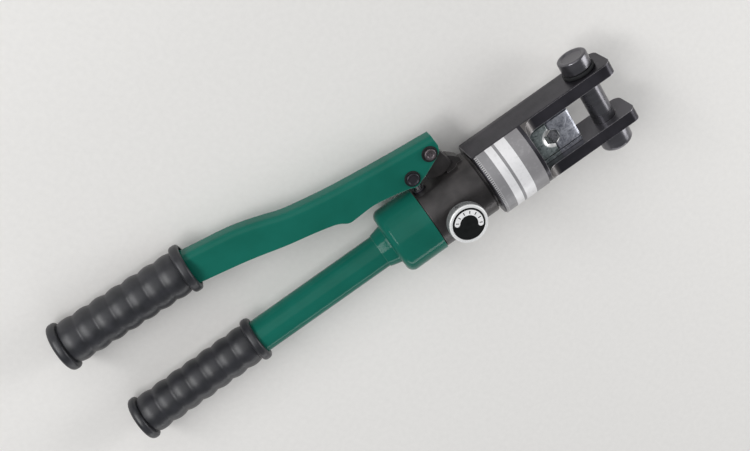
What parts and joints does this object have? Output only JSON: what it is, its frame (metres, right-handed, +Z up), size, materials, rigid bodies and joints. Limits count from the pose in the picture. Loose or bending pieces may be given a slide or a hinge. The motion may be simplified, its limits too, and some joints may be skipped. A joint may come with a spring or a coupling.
{
  "type": "hydraulic crimping tool",
  "caption": "Two-handed hydraulic crimping tool: U-shaped head with a pull-out pin and hexagonal dies, hand pump, release knob, green handles with ribbed black grips.",
  "frame": {"origin": "under the middle of the whole tool, on the surface it lies on", "axes": "+X along the tool towards the head, +Y towards the pump lever, +Z up through the release knob"},
  "size_m": [0.4286, 0.1394, 0.0733],
  "materials": {
    "black_oxide_steel": "satin black oxide",
    "black_cast_steel": "black oxide, slightly rough",
    "zinc_plated_steel": "zinc plated",
    "ground_steel": "ground and polished",
    "spring_steel": "drawn wire",
    "green_paint": "gloss green paint",
    "black_rubber": "matt moulded",
    "seal_rubber": "moulded",
    "bladder_rubber": "moulded",
    "knurled_aluminium": "turned and knurled",
    "black_plastic": "satin",
    "label_foil": "printed foil",
    "sintered_bronze": "sintered"
  },
  "bodies": {
    "frame": {"yoke": "black_oxide_steel", "rating_plate": "label_foil", "pin_keeper": "black_oxide_steel", "pump_body": "black_cast_steel", "cylinder_o_ring": "seal_rubber", "reservoir_o_ring": "seal_rubber", "plunger_gland": "zinc_plated_steel", "plunger_seal": "seal_rubber", "inlet_ball": "ground_steel", "inlet_spring": "spring_steel", "suction_strainer": "sintered_bronze", "outlet_ball": "ground_steel", "outlet_spring": "spring_steel", "outlet_plug": "ground_steel", "relief_ball": "ground_steel", "relief_spring": "spring_steel", "relief_plug": "ground_steel", "valve_gland_nut": "zinc_plated_steel", "reservoir_cup": "green_paint", "handle_tube": "green_paint", "oil_bladder": "bladder_rubber", "bladder_clamp": "zinc_plated_steel", "handle_end_plug": "zinc_plated_steel", "handle_grip": "black_rubber", "return_spring": "spring_steel"},
    "lever": {"lever_channel": "green_paint", "lever_grip": "black_rubber", "fulcrum_bolt": "black_oxide_steel", "fulcrum_nut": "black_oxide_steel", "plunger_pin": "black_oxide_steel", "plunger_pin_clip": "black_oxide_steel"},
    "plunger": {"pump_plunger": "ground_steel"},
    "ram": {"ram": "ground_steel", "piston_seal": "seal_rubber", "lower_die": "zinc_plated_steel", "upper_die": "zinc_plated_steel", "die_grub_screw": "ground_steel", "die_dowel_upper": "ground_steel", "die_dowel_lower": "ground_steel"},
    "release": {"release_knob": "knurled_aluminium", "knob_disc": "black_plastic", "release_stem": "ground_steel", "knob_grub_screw": "ground_steel"},
    "latch": {"latch_pin": "black_oxide_steel", "pin_ring": "seal_rubber", "pin_detent_ball": "ground_steel", "pin_detent_spring": "spring_steel"}
  },
  "joints": [
    {"name": "lever_swing", "type": "hinge", "parent": "frame", "child": "lever", "pos_m": [0.07287, 0.01509, 0.02932], "axis": [0, 0, -1], "range_deg": [-8, 40]},
    {"name": "plunger_slide", "type": "slide", "parent": "frame", "child": "plunger", "axis": [0, 1, 0], "range_m": [-0.003, 0.0144]},
    {"name": "ram_slide", "type": "slide", "parent": "frame", "child": "ram", "axis": [1, 0, 0], "range_m": [0, 0.0136], "stiffness_N_per_m": 2000, "springref_m": -0.01, "deforming": ["return_spring"]},
    {"name": "release_turn", "type": "hinge", "parent": "frame", "child": "release", "pos_m": [0.06657, -0.02931, 0.06531], "axis": [0, 0, 1], "range_deg": [0, 180]},
    {"name": "latch_slide", "type": "slide", "parent": "frame", "child": "latch", "axis": [0, 1, 0], "range_m": [0, 0.0645]}
  ],
  "couplings": [
    {"joint": "plunger_slide", "follows": "lever_swing", "m_per_rad": 0.0203}
  ]
}
